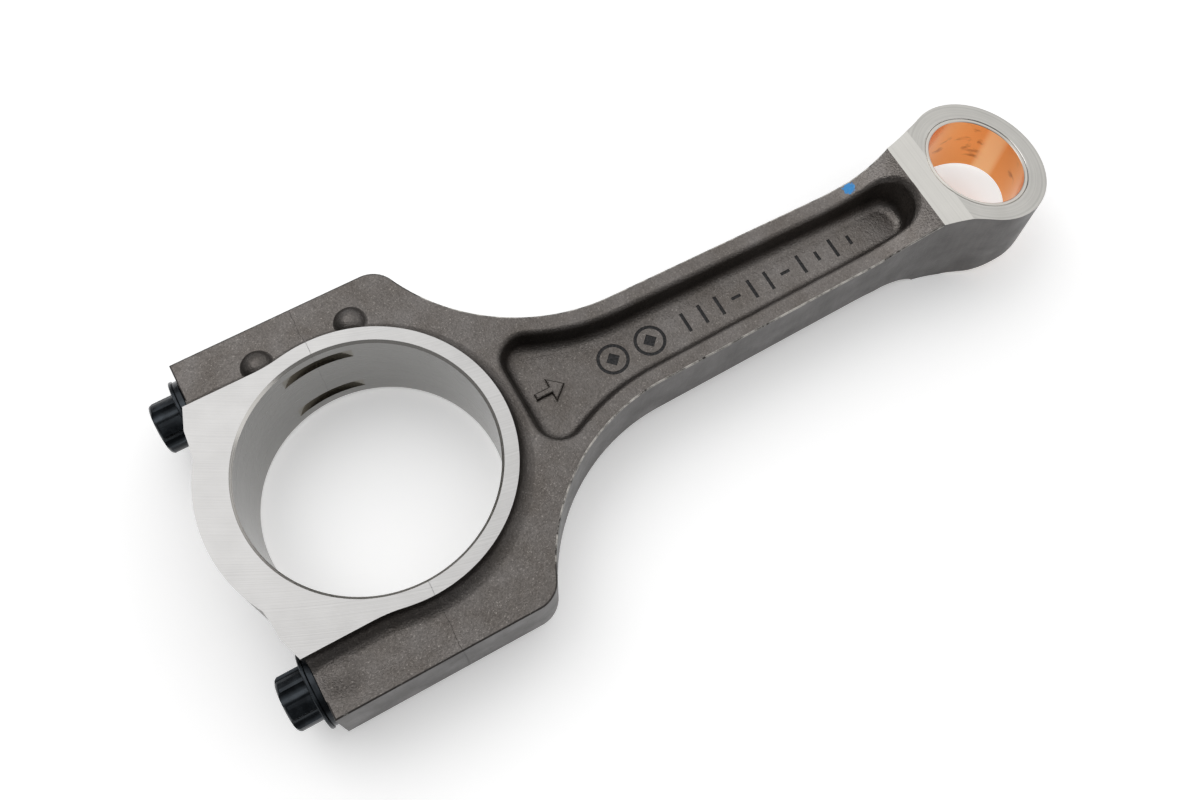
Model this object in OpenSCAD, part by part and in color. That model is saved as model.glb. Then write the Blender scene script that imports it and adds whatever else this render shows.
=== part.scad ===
// Connecting rod of a small petrol engine: forged rod, fracture-split cap, two flange bolts and a pin bush.
// The origin is the centre of the big-end bore, +X runs to the small end and +Z along both bores.

/* [Rod] */
// Distance between the big-end and pin bore centres
centre_distance = 143.75; // [140:0.25:150]
// Thickness of the forged shank and bolt bosses
slab_t = 14.7; // [13:0.1:17]
// Thickness of the web between the two pockets
web_t = 4.4; // [3:0.1:6]
// Width of the rim on each side of a pocket
rim_w = 4; // [3:0.1:4.5]
// Half width of the shank at its big-end root
shank_root_half = 10.8; // [10:0.1:12]
// Half width of the shank at its narrowest, under the small end
shank_neck_half = 9.7; // [9:0.1:10.5]
// Radius of the flank that runs from a bolt boss to the shank
flank_r = 42; // [36:1:44]

/* [Big end] */
// Radius of the big-end housing bore
big_bore_r = 25.5; // [25:0.05:26]
// Thickness of the big end across its ground faces
pad_t = 23.6; // [22:0.1:26]
// Outer radius of the ground face round the rod half
pad_r = 28.9; // [28.5:0.1:29.5]
// Outer radius of the cap's back
cap_back_r = 33; // [32:0.1:34]
// Half width of the ground face beside the bolts
pad_half_w = 27.7; // [27.2:0.1:28]
// Chamfer at each end of the bore
bore_chamfer = 0.55; // [0.3:0.05:0.8]
// Gap left along the fracture between rod and cap
split_gap = 0.04; // [0.02:0.01:0.1]

/* [Bolt bosses] */
// Half width over the two bolt bosses
boss_half_w = 39.6; // [39:0.1:41]
// Distance of the bolt seats behind the bore centre
seat_x = 25.7; // [24.5:0.1:27]
// Radius of the boss corner on the rod side
boss_corner_r = 6; // [4:0.5:7]
// Distance of each bolt's axis from the bore centre
bolt_y = 31.2; // [31:0.1:31.6]
// Radius of the spot face round each bolt seat
seat_r = 8.3; // [8:0.1:8.6]

/* [Locating marks] */
// Radius of the two round bosses cast beside the ground face
dome_r = 3.2; // [2.5:0.1:3.5]
// Height of those round bosses
dome_h = 2.2; // [1:0.1:3]
// Half length of a bearing tang notch
notch_half_l = 7.5; // [6:0.1:8]
// Depth of a bearing tang notch
notch_depth = 1.3; // [0.8:0.1:1.6]
// Width of a bearing tang notch
notch_w = 3; // [2:0.1:4]

/* [Small end] */
// Outer radius of the small-end eye
eye_r = 15.75; // [15.5:0.05:16.5]
// Offset of the eye's outer circle from the pin centre
eye_shift = 0.58; // [0:0.01:1]
// Thickness of the small end across its flat facets
eye_t = 25.6; // [24:0.1:27]
// Distance from the pin centre back to the start of the flat facet
facet_back = 17.05; // [16:0.05:18]
// Distance from the pin centre back to the line where the faces start to taper
taper_back = 10.85; // [10:0.05:12]
// Angle of each tapered face in degrees
taper_angle = 15.6; // [8:0.1:16]
// Radius of the sweep from the shank up to the small end
rise_r = 30; // [26:1:34]

/* [Bush] */
// Radius of the pin bore
pin_r = 11; // [10.8:0.05:11.2]
// Wall of the bush
bush_wall = 0.9; // [0.8:0.05:1.3]

/* [Cap bolts] */
// Radius of the bolt over its thread
bolt_r = 4.5; // [4:0.05:4.6]
// Length of the bolt under its flange
bolt_length = 42; // [38:0.5:44]
// Radius of the flange
flange_r = 7.85; // [7.2:0.05:8]
// Thickness of the flange
flange_t = 2.1; // [1.6:0.1:2.4]
// Radius over the lobes of the head
head_r = 5.55; // [5.2:0.05:5.8]
// Length of the head beyond the flange
head_l = 5.4; // [4.5:0.1:6]
// Number of lobes on the head
lobes = 6; // [5:1:8]
// Radial clearance of the bolt in its threaded hole
thread_clearance = 0.05; // [0.02:0.01:0.1]
// Radial clearance of the bolt in the cap
cap_clearance = 0.3; // [0.2:0.05:0.4]

/* [Hidden] */
$fn = 96;

steel_forged = [0.38, 0.36, 0.35];
steel_ground = [0.78, 0.77, 0.75];
bronze = [0.80, 0.51, 0.29];
black_oxide = [0.12, 0.13, 0.15];

// Anything that has to pass right through is cut this much longer
over = 1;
eps = 0.01;
// Arcs that run into each other overlap by this much, so that they meet in two clean points
arc_overlap = 0.02;

slab_half = slab_t / 2;
pad_half = pad_t / 2;
eye_half = eye_t / 2;
web_half = web_t / 2;
tip_x = centre_distance + eye_shift + eye_r;
eye_x = centre_distance + eye_shift;
pin_hole_r = pin_r + bush_wall;

// Shank edge: a straight line from the flank's tangent point to the small-end sweep
flank_x = 60;
neck_x = centre_distance - 26.75;
flank_y = shank_root_half + flank_r;

// Rounded corner of a bolt boss, tangent to its outer wall and to the flank
corner_y = boss_half_w - boss_corner_r;
corner_dy = flank_y - corner_y;
corner_d = flank_r + boss_corner_r;
corner_x = flank_x - sqrt(pow(corner_d, 2) - pow(corner_dy, 2));
corner_end_x = corner_x + boss_corner_r * (flank_x - corner_x) / corner_d;
corner_end_y = corner_y + boss_corner_r * corner_dy / corner_d;

// Sweep from the shank to the eye, tangent to both
neck_dx = eye_x - neck_x;
neck_r = (pow(neck_dx, 2) + pow(shank_neck_half, 2) - pow(eye_r, 2)) / (2 * (eye_r - shank_neck_half));
neck_y = shank_neck_half + neck_r;
neck_end_x = eye_x - eye_r * neck_dx / (neck_r + eye_r);
neck_end_y = eye_r * neck_y / (neck_r + eye_r);

// Pocket in the shank: its edge runs rim_w inside the outline
pocket_x = 32.7;
pocket_corner_r = 5;
pocket_end_x = centre_distance - 17.55;
pocket_end_r = 5;
pocket_flank_r = flank_r + rim_w;
pocket_corner_x = pocket_x + pocket_corner_r;
pocket_corner_d = pocket_flank_r + pocket_corner_r - arc_overlap;
pocket_corner_y = flank_y - sqrt(pow(pocket_corner_d, 2) - pow(flank_x - pocket_corner_x, 2));
pocket_tan_r = pocket_corner_r - 2 * arc_overlap;
pocket_tan_x = pocket_corner_x + pocket_tan_r * (flank_x - pocket_corner_x) / pocket_corner_d;
pocket_tan_y = pocket_corner_y + pocket_tan_r * (flank_y - pocket_corner_y) / pocket_corner_d;
pocket_root_half = shank_root_half - rim_w;
pocket_neck_half = shank_neck_half - rim_w;
pocket_end_y = pocket_neck_half - pocket_end_r;

// Side view of the small end
facet_x = centre_distance - facet_back;
taper_x = centre_distance - taper_back;
tip_half = eye_half - (tip_x + over - taper_x) * tan(taper_angle);
rise = eye_half - slab_half;
rise_x = facet_x - sqrt(pow(rise_r, 2) - pow(rise_r - rise, 2));

// Cutter whose edge makes a tang notch of the stated length and depth
bore_at_notch = sqrt(pow(big_bore_r, 2) - pow(notch_half_l, 2));
notch_rise = big_bore_r + notch_depth - bore_at_notch;
notch_cutter_r = (pow(notch_half_l, 2) + pow(notch_rise, 2)) / (2 * notch_rise);
notch_z = [7.6, -7.3];

dome_x = [-10.3, 10];
dome_y = 30.9;
dome_sphere_r = (pow(dome_r, 2) + pow(dome_h, 2)) / (2 * dome_h);

bolt_hole_end = 19;
head_chamfer = 0.7;
lobe_cut_r = 1.75;
lobe_cut_d = head_r + 0.75;

// Both halves of an outline that is symmetric about the X axis
module both_sides() {
  children();
  mirror([0, 1]) children();
}

// Upper half of the forged outline, seen along the bores
module slab_half_plan() {
  difference() {
    union() {
      polygon([
        [-seat_x, -eps],
        [-seat_x, boss_half_w],
        [corner_x, boss_half_w],
        [corner_end_x, corner_end_y],
        [flank_x, shank_root_half],
        [neck_x, shank_neck_half],
        [neck_end_x, neck_end_y],
        [eye_x, -eps]
      ]);
      translate([corner_x, corner_y]) circle(r = boss_corner_r);
    }
    translate([flank_x, flank_y]) circle(r = flank_r);
    translate([neck_x, neck_y]) circle(r = neck_r);
  }
}

module slab_plan() {
  both_sides() slab_half_plan();
  translate([eye_x, 0]) circle(r = eye_r);
}

// Upper half of the side view: shank, sweep up to the small end, facet and taper
module side_half_view(drop = 0) {
  difference() {
    polygon([
      [-seat_x - over, -eps],
      [-seat_x - over, slab_half],
      [rise_x, slab_half],
      [facet_x, eye_half - drop],
      [taper_x, eye_half - drop],
      [tip_x + over, tip_half - drop],
      [tip_x + over, -eps]
    ]);
    translate([rise_x, slab_half + rise_r]) circle(r = rise_r);
  }
}

module side_view_solid(drop = 0) {
  rotate([90, 0, 0])
    linear_extrude(2 * (boss_half_w + over), center = true)
      both_sides() side_half_view(drop);
}

// Ground face of the big end: a ring round the rod half, wider over the cap
module pad_plan() {
  circle(r = pad_r);
  both_sides() polygon([
    [-28.1, -eps],
    [-28.1, 19.5],
    [-27.8, 23],
    [-26.2, pad_half_w],
    [-8, pad_half_w],
    [0, pad_half_w - over],
    [0, -eps]
  ]);
  intersection() {
    circle(r = cap_back_r);
    translate([-cap_back_r - over, -cap_back_r / 2 - over])
      square([cap_back_r, cap_back_r + 2 * over]);
  }
}

module pad() {
  linear_extrude(pad_t, center = true) pad_plan();
}

module forging() {
  intersection() {
    linear_extrude(eye_t, center = true) slab_plan();
    side_view_solid();
  }
}

module domes() {
  for (x = dome_x)
    translate([x, dome_y, slab_half + dome_h - dome_sphere_r]) sphere(r = dome_sphere_r);
}

module big_bore() {
  cylinder(r = big_bore_r, h = pad_t + 2 * over, center = true);
  for (side = [0, 1]) mirror([0, 0, side])
    translate([0, 0, pad_half - bore_chamfer])
      cylinder(r1 = big_bore_r, r2 = big_bore_r + bore_chamfer + over, h = bore_chamfer + over);
}

module tang_notches() {
  for (z = notch_z)
    translate([0, big_bore_r + notch_depth - notch_cutter_r, z])
      cylinder(r = notch_cutter_r, h = notch_w, center = true);
}

// Outline of a pocket at its rim
module pocket_half_plan() {
  difference() {
    union() {
      polygon([
        [pocket_x, -eps],
        [pocket_x, pocket_corner_y],
        [pocket_corner_x, pocket_corner_y],
        [pocket_tan_x, pocket_tan_y],
        [flank_x, pocket_root_half],
        [pocket_end_x - pocket_end_r, pocket_neck_half],
        [pocket_end_x - pocket_end_r, pocket_end_y],
        [pocket_end_x, pocket_end_y],
        [pocket_end_x, -eps]
      ]);
      translate([pocket_corner_x, pocket_corner_y]) circle(r = pocket_corner_r);
      translate([pocket_end_x - pocket_end_r, pocket_end_y]) circle(r = pocket_end_r);
    }
    translate([flank_x, flank_y]) circle(r = pocket_flank_r);
  }
}

module pockets() {
  for (side = [0, 1]) mirror([0, 0, side])
    translate([0, 0, web_half])
      linear_extrude(eye_half) both_sides() pocket_half_plan();
}

// Places its children on both bolt axes, their +Z towards the bolt heads
module at_bolts(sides = [1, -1]) {
  for (side = sides)
    translate([0, side * bolt_y, 0]) rotate([0, -90, 0]) children();
}

module bolt_cuts(clearance) {
  at_bolts() {
    translate([0, 0, -bolt_hole_end])
      cylinder(r = bolt_r + clearance, h = bolt_hole_end + seat_x + over);
    translate([0, 0, seat_x]) cylinder(r = seat_r, h = pad_r);
  }
}

// The forging as machined, before it is cracked in two
module whole_rod() {
  difference() {
    union() {
      forging();
      pad();
    }
    big_bore();
    tang_notches();
  }
}

module half_space(side) {
  size = 2 * tip_x;
  translate([side * (size + split_gap) / 2, 0, 0]) cube(size, center = true);
}

module rod_body() {
  color(steel_forged) difference() {
    intersection() {
      union() {
        whole_rod();
        difference() {
          domes();
          big_bore();
        }
      }
      half_space(1);
    }
    pockets();
    bolt_cuts(thread_clearance);
    translate([centre_distance, 0, 0]) cylinder(r = pin_hole_r, h = eye_t + 2 * over, center = true);
  }
}

module bearing_cap() {
  color(steel_ground) difference() {
    intersection() {
      union() {
        whole_rod();
        difference() {
          domes();
          big_bore();
        }
      }
      half_space(-1);
    }
    bolt_cuts(cap_clearance);
  }
}

module small_end_bush() {
  color(bronze) difference() {
    intersection() {
      translate([centre_distance, 0, 0]) cylinder(r = pin_hole_r, h = eye_t + 2 * over, center = true);
      side_view_solid(0.1);
    }
    translate([centre_distance, 0, 0]) cylinder(r = pin_r, h = eye_t + 2 * over, center = true);
  }
}

module lobed_head() {
  difference() {
    union() {
      cylinder(r = head_r, h = head_l - head_chamfer);
      translate([0, 0, head_l - head_chamfer])
        cylinder(r1 = head_r, r2 = head_r - head_chamfer, h = head_chamfer);
    }
    for (turn = [0 : 360 / lobes : 359])
      rotate(turn) translate([lobe_cut_d, 0, -over]) cylinder(r = lobe_cut_r, h = head_l + 2 * over);
  }
}

// A cap bolt in its own frame: the flange rests on z = 0 and the head points to +Z
module cap_bolt() {
  color(black_oxide) {
    translate([0, 0, -bolt_length]) cylinder(r = bolt_r, h = bolt_length + eps);
    cylinder(r = flange_r, h = flange_t);
    translate([0, 0, flange_t - eps]) lobed_head();
  }
}

module seated_bolt(side) {
  at_bolts([side]) translate([0, 0, seat_x + split_gap]) cap_bolt();
}

module cap_bolt_left() {
  seated_bolt(1);
}

module cap_bolt_right() {
  seated_bolt(-1);
}

rod_body();
bearing_cap();
small_end_bush();
cap_bolt_left();
cap_bolt_right();
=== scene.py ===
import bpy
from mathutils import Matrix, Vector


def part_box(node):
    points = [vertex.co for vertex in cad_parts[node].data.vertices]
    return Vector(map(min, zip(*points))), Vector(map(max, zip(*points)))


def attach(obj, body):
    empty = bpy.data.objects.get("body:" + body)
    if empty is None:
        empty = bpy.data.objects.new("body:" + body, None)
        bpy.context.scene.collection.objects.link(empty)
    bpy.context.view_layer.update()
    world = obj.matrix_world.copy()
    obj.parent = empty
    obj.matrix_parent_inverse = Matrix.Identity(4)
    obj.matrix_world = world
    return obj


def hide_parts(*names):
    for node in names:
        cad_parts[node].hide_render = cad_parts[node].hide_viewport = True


bl_info = {
    "name": "Connecting Rod",
    "version": (1, 0, 0),
    "blender": (4, 5, 0),
    "location": "View3D > Sidebar > Connecting Rod",
    "description": "Forged connecting rod with a fracture-split cap, two flange bolts and a bronze pin bush",
    "category": "Object",
}

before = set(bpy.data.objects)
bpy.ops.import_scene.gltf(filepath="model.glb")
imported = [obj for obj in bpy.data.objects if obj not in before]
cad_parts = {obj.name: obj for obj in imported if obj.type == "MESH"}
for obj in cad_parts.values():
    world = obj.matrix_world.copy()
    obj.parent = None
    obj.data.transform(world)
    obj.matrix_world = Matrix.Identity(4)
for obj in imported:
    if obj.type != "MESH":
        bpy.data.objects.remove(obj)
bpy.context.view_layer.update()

from math import asin, atan2, ceil, cos, degrees, hypot, pi, radians, sin, sqrt, tan

import bmesh
import bpy
from bpy.props import FloatProperty, FloatVectorProperty, PointerProperty, StringProperty
from mathutils import Matrix, Vector, noise

MM = 0.001


def node_mm(name):
    """The lowest and highest corners of a CAD node in millimetres."""
    return [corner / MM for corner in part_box(name)]


ROD_LOW, ROD_HIGH = node_mm("rod_body")
CAP_LOW, CAP_HIGH = node_mm("bearing_cap")
BUSH_LOW, BUSH_HIGH = node_mm("small_end_bush")
BOLT_LOW, BOLT_HIGH = node_mm("cap_bolt_left")

# Places and sizes that the frame settles, in millimetres
TIP_X = ROD_HIGH.x
BOSS_HALF_W = ROD_HIGH.y
EYE_HALF = ROD_HIGH.z
PAD_HALF = CAP_HIGH.z
CAP_BACK_R = -CAP_LOW.x
PIN_X = (BUSH_LOW.x + BUSH_HIGH.x) / 2
PIN_HOLE_R = (BUSH_HIGH.x - BUSH_LOW.x) / 2
BOLT_Y = (BOLT_LOW.y + BOLT_HIGH.y) / 2
FLANGE_R = (BOLT_HIGH.y - BOLT_LOW.y) / 2
HEAD_X = BOLT_LOW.x
BOLT_END_X = BOLT_HIGH.x
BIG_BORE_R = 25.5
PIN_R = 11.0
SEAT_X = -25.7
BOLT_SEAT_X = SEAT_X - 0.04
FLANGE_T = 2.1
SLAB_HALF = 7.35
FACET_X = PIN_X - 17.05
TAPER_X = PIN_X - 10.85
EYE_R = 15.75
EYE_X = TIP_X - EYE_R


# ---------------------------------------------------------------- sizes and colours that a user may change

class RodLooks(bpy.types.PropertyGroup):
    edge: FloatProperty(name="Forging edge", description="Rounding of the trimmed edge, in millimetres",
        default=0.32, min=0.1, max=1.0)
    skirt: FloatProperty(name="Pad fillet",
        description="Fillet between the ground pad and the forging, in millimetres",
        default=3.3, min=0.5, max=3.6)
    pocket_rim: FloatProperty(name="Pocket rim", description="Rounding of the pocket's rim, in millimetres",
        default=1.3, min=0.3, max=1.3)
    pocket_fillet: FloatProperty(name="Pocket fillet",
        description="Fillet round the pocket's floor, in millimetres",
        default=2.4, min=0.5, max=2.5)
    crack: FloatProperty(name="Fracture roughness",
        description="Height of the grain on the fracture faces, in millimetres",
        default=0.28, min=0.0, max=0.6)
    crack_gap: FloatProperty(name="Fracture gap",
        description="Width of the line between rod and cap, in millimetres",
        default=0.06, min=0.02, max=0.2)
    thread_pitch: FloatProperty(name="Thread pitch",
        description="Pitch of the cap bolts' thread, in millimetres",
        default=1.25, min=0.75, max=1.5)


class RodColours(bpy.types.PropertyGroup):
    forging: StringProperty(name="Forging", description="Shot-blasted forging skin, as an sRGB hex value",
        default="#635f5c")
    trimmed: StringProperty(name="Trimmed flank",
        description="Drawn and trimmed side walls, as an sRGB hex value",
        default="#5e5c5b")
    ground: StringProperty(name="Ground steel", description="Ground and milled faces, as an sRGB hex value",
        default="#d0cec9")
    bronze: StringProperty(name="Bush bronze",
        description="Bearing bronze of the pin bush, as an sRGB hex value",
        default="#ec9f5b")
    oxide: StringProperty(name="Black oxide",
        description="Black finish of the cap bolts, as an sRGB hex value",
        default="#1c2024")
    paint: StringProperty(name="Paint dab", description="Blue inspection paint, as an sRGB hex value",
        default="#1e8fd8")


class StudioSettings(bpy.types.PropertyGroup):
    camera_distance: FloatProperty(name="Camera distance",
        description="Distance from the camera to its target",
        default=0.25058, unit="LENGTH")
    camera_azimuth: FloatProperty(name="Camera azimuth", description="Bearing of the camera from +X",
        default=radians(-122.004), subtype="ANGLE")
    camera_elevation: FloatProperty(name="Camera elevation",
        description="Height of the camera above the floor",
        default=radians(67.829), subtype="ANGLE")
    camera_roll: FloatProperty(name="Camera roll", description="Turn of the camera about its own axis",
        default=radians(2.929), subtype="ANGLE")
    camera_target: FloatVectorProperty(name="Camera target", description="Point that the camera looks at",
        default=(0.04768, -0.00585, 0.0), subtype="TRANSLATION", unit="LENGTH")
    lens: FloatProperty(name="Lens", description="Focal length on a 36 mm sensor, in millimetres",
        default=36.64)
    floor: StringProperty(name="Floor", description="Colour of the floor, as an sRGB hex value",
        default="#fafafa")
    overhead: FloatProperty(name="Overhead light", description="Strength of the large overhead softbox",
        default=2.2, unit="POWER")
    front: FloatProperty(name="Front light", description="Strength of the low light beyond the small end",
        default=1.1, unit="POWER")
    ambient: FloatProperty(name="Ceiling", description="Brightness of the pale ceiling over the object",
        default=1.05)
    horizon: FloatProperty(name="Walls", description="Brightness of the studio's walls",
        default=0.16)


# ---------------------------------------------------------------- modelling tools

def outline(start, *moves):
    """One open chain of edges in the XY plane: each move is a point, or an arc's centre and end bearing."""
    bm = bmesh.new()
    end = bm.verts.new((*start, 0))
    for move in moves:
        if len(move) == 2:
            end = bmesh.ops.extrude_vert_indiv(bm, verts=[end])["verts"][0]
            end.co = (*move, 0)
            continue
        x, y, bearing = move
        arm = end.co - Vector((x, y, 0))
        turn = (bearing - degrees(atan2(arm.y, arm.x)) + 180) % 360 - 180
        steps = max(3, ceil(abs(radians(turn)) * arm.length / 1.1), ceil(abs(turn) / 9))
        arc = bmesh.ops.spin(bm, geom=[end], cent=(x, y, 0), axis=(0, 0, 1), angle=radians(turn), steps=steps)
        end = of_kind(arc["geom_last"], bmesh.types.BMVert)[0]
    return bm


def plan(start, *moves):
    """A flat face between an outline and its mirror image across the X axis."""
    bm = outline(start, *moves)
    bmesh.ops.mirror(bm, geom=bm.verts[:] + bm.edges[:], matrix=Matrix(), merge_dist=1e-3, axis="Y")
    bmesh.ops.remove_doubles(bm, verts=bm.verts, dist=1e-3)
    bmesh.ops.edgeloop_fill(bm, edges=bm.edges)
    return bm


def everything(bm):
    return bm.verts[:] + bm.edges[:] + bm.faces[:]


def of_kind(parts, kind):
    return [part for part in parts if isinstance(part, kind)]


def rise(bm, lift, shrink=0.0, faces=None):
    """Steps the top faces up by lift and in by shrink, and returns them."""
    faces = faces or bm.faces[:]
    if shrink:
        bmesh.ops.inset_region(bm, faces=faces, thickness=shrink, use_even_offset=True, use_boundary=True)
    else:
        # Faces that already stand on walls would be left inside the solid
        buried = any(other not in faces for face in faces for edge in face.edges for other in edge.link_faces)
        extruded = bmesh.ops.extrude_face_region(bm, geom=faces)["geom"]
        if buried:
            bmesh.ops.delete(bm, geom=faces, context="FACES")
        faces = of_kind(extruded, bmesh.types.BMFace)
    verts = {vert for face in faces for vert in face.verts}
    bmesh.ops.translate(bm, verts=list(verts), vec=(0, 0, lift))
    return faces


def cut_at(bm, stations, axis=(1, 0, 0)):
    """Splits every face along planes square to the axis."""
    for station in stations:
        bmesh.ops.bisect_plane(bm, geom=everything(bm), dist=1e-5,
                               plane_co=Vector(axis) * station, plane_no=axis)


def end_at_seat(bm):
    """Takes off whatever reaches past the plane of the bolt seats, and closes the cut."""
    bmesh.ops.bisect_plane(bm, geom=everything(bm), plane_co=(SEAT_X, 0, 0), plane_no=(-1, 0, 0),
                           clear_outer=True)
    bmesh.ops.holes_fill(bm, edges=bm.edges)


def lathe(profile, steps=128, centre=(0, 0, 0)):
    """A closed solid from a profile of radius and height pairs, spun about a line along Z."""
    bm = bmesh.new()
    verts = [bm.verts.new((centre[0] + radius, centre[1], centre[2] + height)) for radius, height in profile]
    for one, two in zip(verts, verts[1:] + verts[:1]):
        if hypot(one.co.x - centre[0], two.co.x - centre[0]) > 1e-6:
            bm.edges.new((one, two))
    bmesh.ops.spin(bm, geom=bm.verts[:] + bm.edges[:], cent=centre, axis=(0, 0, 1), angle=2 * pi,
                   steps=steps, use_merge=True)
    return bm


def clean(bm):
    """Merges doubles, drops slivers and turns every face outward."""
    bmesh.ops.remove_doubles(bm, verts=bm.verts, dist=1e-4)
    bmesh.ops.dissolve_degenerate(bm, edges=bm.edges, dist=1e-5)
    bmesh.ops.recalc_face_normals(bm, faces=bm.faces)
    return bm


def join(bm, other):
    """Adds the other bmesh to bm and frees it."""
    mesh = bpy.data.meshes.new("joined")
    other.to_mesh(mesh)
    other.free()
    bm.from_mesh(mesh)
    bpy.data.meshes.remove(mesh)


def solid(name, bm, *materials):
    """A scratch object from a closed bmesh in millimetres."""
    clean(bm)
    mesh = bpy.data.meshes.new(name)
    bm.to_mesh(mesh)
    bm.free()
    for material in materials:
        mesh.materials.append(material)
    obj = bpy.data.objects.new(name, mesh)
    bpy.context.scene.collection.objects.link(obj)
    return obj


def machined(base, operation, *tools):
    """Joins or cuts the tools into the base. Each tool's own material stays on the faces that it makes."""
    for tool in tools:
        modifier = base.modifiers.new(tool.name, "BOOLEAN")
        modifier.operation = operation
        modifier.solver = "EXACT"
        modifier.material_mode = "TRANSFER"
        modifier.object = tool
        mesh = bpy.data.meshes.new_from_object(base.evaluated_get(bpy.context.evaluated_depsgraph_get()))
        base.modifiers.clear()
        base.data = mesh
        bpy.data.objects.remove(tool)
    return base


def finished(obj, name, body, slot, *nodes):
    """Cleans a piece, brings it to metres, gives it sharp edges and even normals, and hands it to its body."""
    crease, crease_between_finishes = radians(28), radians(8)
    bm = bmesh.new()
    bm.from_mesh(obj.data)
    clean(bm)
    bmesh.ops.scale(bm, vec=(MM, MM, MM), verts=bm.verts)
    for face in bm.faces:
        face.smooth = True
    for edge in bm.edges:
        finishes = {face.material_index for face in edge.link_faces}
        limit = crease if len(finishes) == 1 else crease_between_finishes
        edge.smooth = edge.is_manifold and edge.calc_face_angle(pi) < limit
    bm.to_mesh(obj.data)
    bm.free()
    obj.name = name
    obj.data.name = name
    even = obj.modifiers.new("Even normals", "WEIGHTED_NORMAL")
    even.keep_sharp = True
    even.weight = 100
    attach(obj, body)
    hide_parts(*nodes)
    return obj


def half_thickness(x):
    """Half thickness of the forging at x: level slab, sweep, flat facet and tapered face."""
    taper, sweep_r = radians(15.6), 30.0
    if x > TAPER_X:
        return EYE_HALF - (x - TAPER_X) * tan(taper)
    if x > FACET_X:
        return EYE_HALF
    sweep = sweep_r - (EYE_HALF - SLAB_HALF)
    start = FACET_X - sqrt(sweep_r ** 2 - sweep ** 2)
    return SLAB_HALF + (sweep_r - sqrt(sweep_r ** 2 - (x - start) ** 2) if x > start else 0.0)


# Where the forging is cut across, so that its faces can follow the sweep up to the small end
STATIONS = [109.46 + 1.15 * step for step in range(15)] + [FACET_X, TAPER_X]


# ---------------------------------------------------------------- materials

# Settings of a Mix node for colours: its factor is socket 0, its colours are 6 and 7, its result is output 2
MIX = {"data_type": "RGBA"}
MULTIPLY = {"data_type": "RGBA", "blend_type": "MULTIPLY"}


def linear(hex_colour):
    """A linear RGBA colour from an sRGB hex value."""
    channels = [int(hex_colour[place:place + 2], 16) / 255 for place in (1, 3, 5)]
    return [c / 12.92 if c <= 0.04045 else ((c + 0.055) / 1.055) ** 2.4 for c in channels] + [1.0]


def shaded(hex_colour, factors):
    """That colour with its channels multiplied."""
    return [channel * factor for channel, factor in zip(linear(hex_colour), (*factors, 1))]


def add(tree, kind, inputs=None, **settings):
    """Adds a node with its settings, and gives each named input a value or a link."""
    node = tree.nodes.new("ShaderNode" + kind)
    for name, value in settings.items():
        setattr(node, name, value)
    for name, value in (inputs or {}).items():
        if isinstance(value, bpy.types.NodeSocket):
            tree.links.new(value, node.inputs[name])
        else:
            node.inputs[name].default_value = value
    return node


def span(from_min, from_max, to_min, to_max):
    """The range that is read and the range that it becomes."""
    return {"From Min": from_min, "From Max": from_max, "To Min": to_min, "To Max": to_max}


def new_material(name):
    """A material and its empty tree."""
    material = bpy.data.materials.new(name)
    material.use_nodes = True
    material.node_tree.nodes.clear()
    return material, material.node_tree


def surface(tree, inputs):
    """Ends a material's tree in its one Principled shader."""
    shader = add(tree, "BsdfPrincipled", inputs)
    add(tree, "OutputMaterial", {"Surface": shader.outputs["BSDF"]})


def per_mm(size):
    """The scale that repeats a pattern every so many millimetres, on coordinates in metres."""
    return 1 / (size * MM)


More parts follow.
